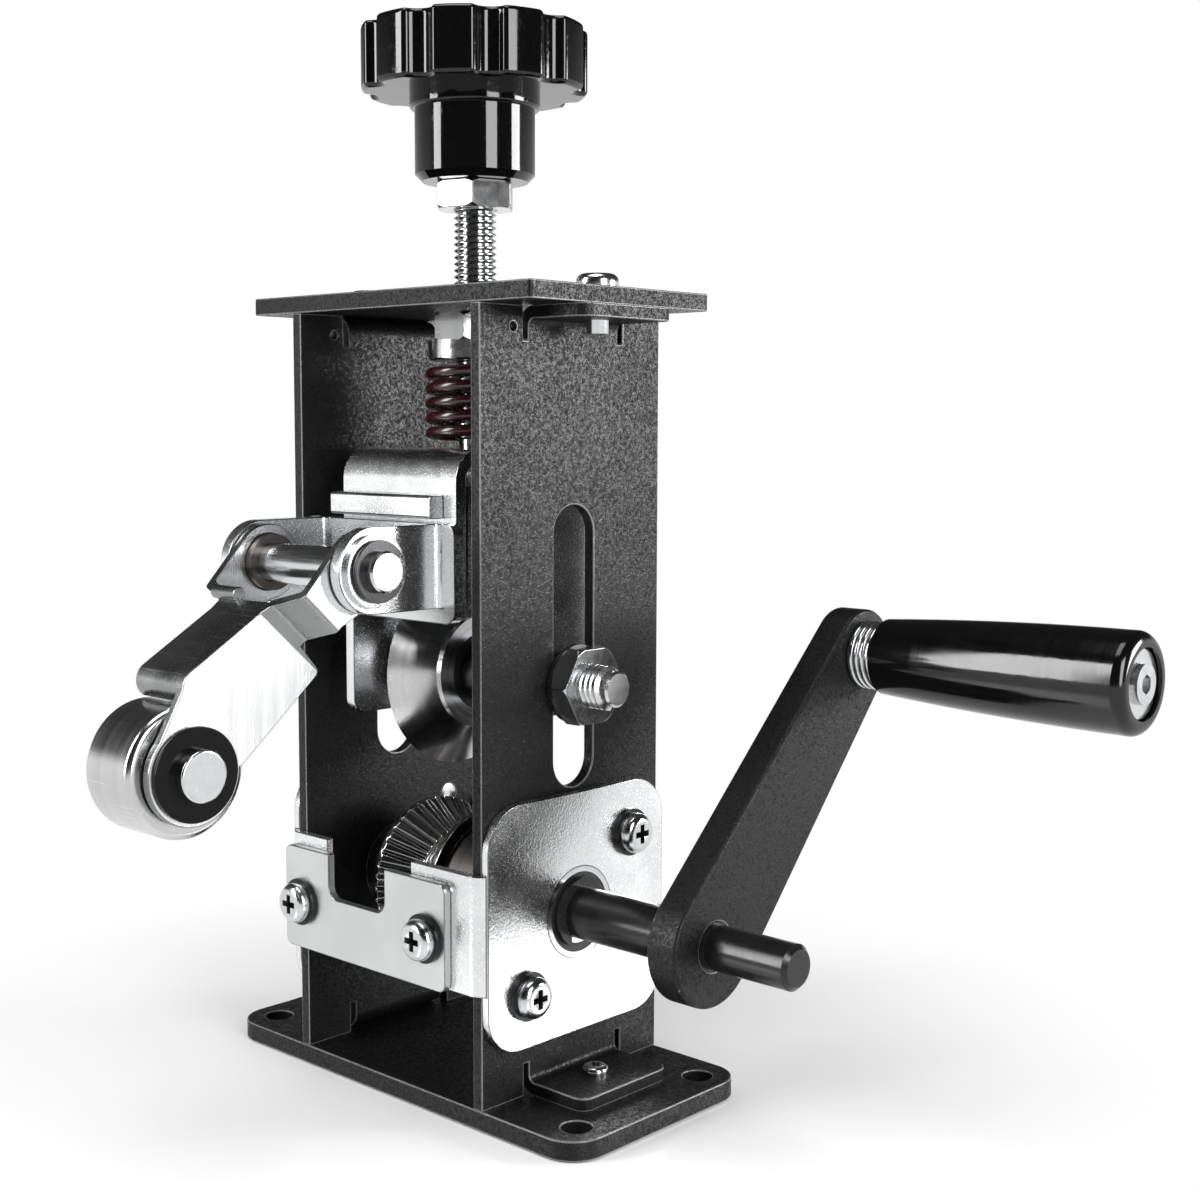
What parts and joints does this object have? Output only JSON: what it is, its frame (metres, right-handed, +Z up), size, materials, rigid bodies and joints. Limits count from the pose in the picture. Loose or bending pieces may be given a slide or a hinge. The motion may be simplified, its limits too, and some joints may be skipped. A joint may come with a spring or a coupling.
{
  "type": "hand crank wire stripper",
  "caption": "Bench wire stripper: upright bolt-down tower with a crank-driven grooved roller, a knob-adjusted cutter wheel above it and a swinging guide roller.",
  "frame": {"origin": "centre of the base plate's underside", "axes": "+X towards the crank along the drive shaft, -Y towards the side the wire goes in, +Z up"},
  "size_m": [0.2035, 0.1637, 0.2468],
  "materials": {
    "black_powder_coat": "fine-grained satin black powder coat",
    "zinc_plate": "bright zinc plate, lightly drawn",
    "satin_plate": "satin grey plated sheet",
    "bright_screw": "bright zinc-plated fastener",
    "dark_screw": "black oxide fastener",
    "thread_steel": "cut thread, plain steel",
    "blade_steel": "ground and polished tool steel",
    "roller_steel": "turned steel, lightly oiled",
    "shaft_black": "black oxide, polished by use",
    "bearing_steel": "ground bearing steel",
    "bearing_shield": "black bearing shield",
    "spring_steel": "dark red-brown varnished spring wire",
    "knob_plastic": "glossy black moulding",
    "grip_plastic": "glossy black moulding",
    "bush_bronze": "sintered bronze",
    "black_nylon": "black nylon washer"
  },
  "bodies": {
    "frame": {"base_plate": "black_powder_coat", "side_plate_left": "black_powder_coat", "side_plate_right": "black_powder_coat", "top_plate": "black_powder_coat", "foot_screws": "bright_screw", "top_plate_screws": "bright_screw", "captive_nut": "thread_steel", "spring_seat": "bright_screw", "spring": "spring_steel", "bearing_bracket_left": "zinc_plate", "bearing_bracket_right": "zinc_plate", "bracket_screws": "bright_screw", "screw_washers": "bright_screw", "guide_plate_front": "satin_plate", "guide_plate_back": "satin_plate", "guide_plate_screws": "bright_screw", "shaft_bearing_outer_races": "bearing_steel", "shaft_bearing_balls": "bearing_steel", "shaft_bearing_shields": "bearing_shield"},
    "carriage": {"saddle": "zinc_plate", "fork": "zinc_plate", "stop_block": "zinc_plate", "clevis": "zinc_plate", "pivot_pin": "bright_screw", "pivot_clips": "dark_screw", "pivot_washers": "bright_screw", "blade_axle": "thread_steel", "axle_nuts": "dark_screw", "axle_washers": "bright_screw", "axle_spacers": "roller_steel", "cutter_bearing_inner_races": "bearing_steel"},
    "cutter": {"cutter_disc": "blade_steel", "cutter_bearing_outer_races": "bearing_steel", "cutter_bearing_balls": "bearing_steel", "cutter_bearing_shields": "bearing_shield"},
    "arm": {"swing_arm": "zinc_plate", "arm_eye_bushes": "roller_steel", "roller_pin": "bright_screw", "roller_pin_clip": "dark_screw", "roller_washer": "black_nylon"},
    "guide_wheel": {"guide_roller": "blade_steel", "guide_roller_bush": "bush_bronze"},
    "screw": {"adjusting_screw": "thread_steel", "lock_nut": "bright_screw", "jam_nut": "bright_screw", "knob": "knob_plastic", "knob_insert": "thread_steel"},
    "crank": {"drive_shaft": "shaft_black", "shaft_bearing_inner_races": "bearing_steel", "shaft_retaining_rings": "dark_screw", "drive_roller_left": "roller_steel", "drive_roller_right": "roller_steel", "roller_clamp_screws": "dark_screw", "shaft_grub_screws": "dark_screw", "crank_arm": "black_powder_coat", "handle_spindle": "bright_screw", "spindle_nut": "bright_screw", "ferrule_rings": "bright_screw", "handle_end_washer": "bright_screw"},
    "grip": {"handle_grip": "grip_plastic"}
  },
  "joints": [
    {"name": "knob_turn", "type": "hinge", "parent": "carriage", "child": "screw", "pos_m": [0, 0, 0.2], "axis": [0, 0, 1], "range_deg": [-3600.2, 720.2]},
    {"name": "carriage_slide", "type": "slide", "parent": "frame", "child": "carriage", "axis": [0, 0, 1], "range_m": [-0.015, 0.003], "deforming": ["spring"]},
    {"name": "cutter_spin", "type": "hinge", "parent": "carriage", "child": "cutter", "pos_m": [-0.006, 0, 0.097], "axis": [1, 0, 0], "continuous": true},
    {"name": "arm_swing", "type": "hinge", "parent": "carriage", "child": "arm", "pos_m": [-0.004, -0.046, 0.1245], "axis": [1, 0, 0], "range_deg": [-55, 18]},
    {"name": "guide_roller_spin", "type": "hinge", "parent": "arm", "child": "guide_wheel", "pos_m": [-0.004, -0.0833, 0.08436], "axis": [1, 0, 0], "continuous": true},
    {"name": "crank_turn", "type": "hinge", "parent": "frame", "child": "crank", "pos_m": [0, 0, 0.0443], "axis": [1, 0, 0], "continuous": true},
    {"name": "grip_spin", "type": "hinge", "parent": "crank", "child": "grip", "pos_m": [0.11, 0.05507, 0.10233], "axis": [1, 0, 0], "continuous": true}
  ],
  "couplings": [
    {"joint": "knob_turn", "follows": "carriage_slide", "rad_per_m": 4188.8}
  ]
}
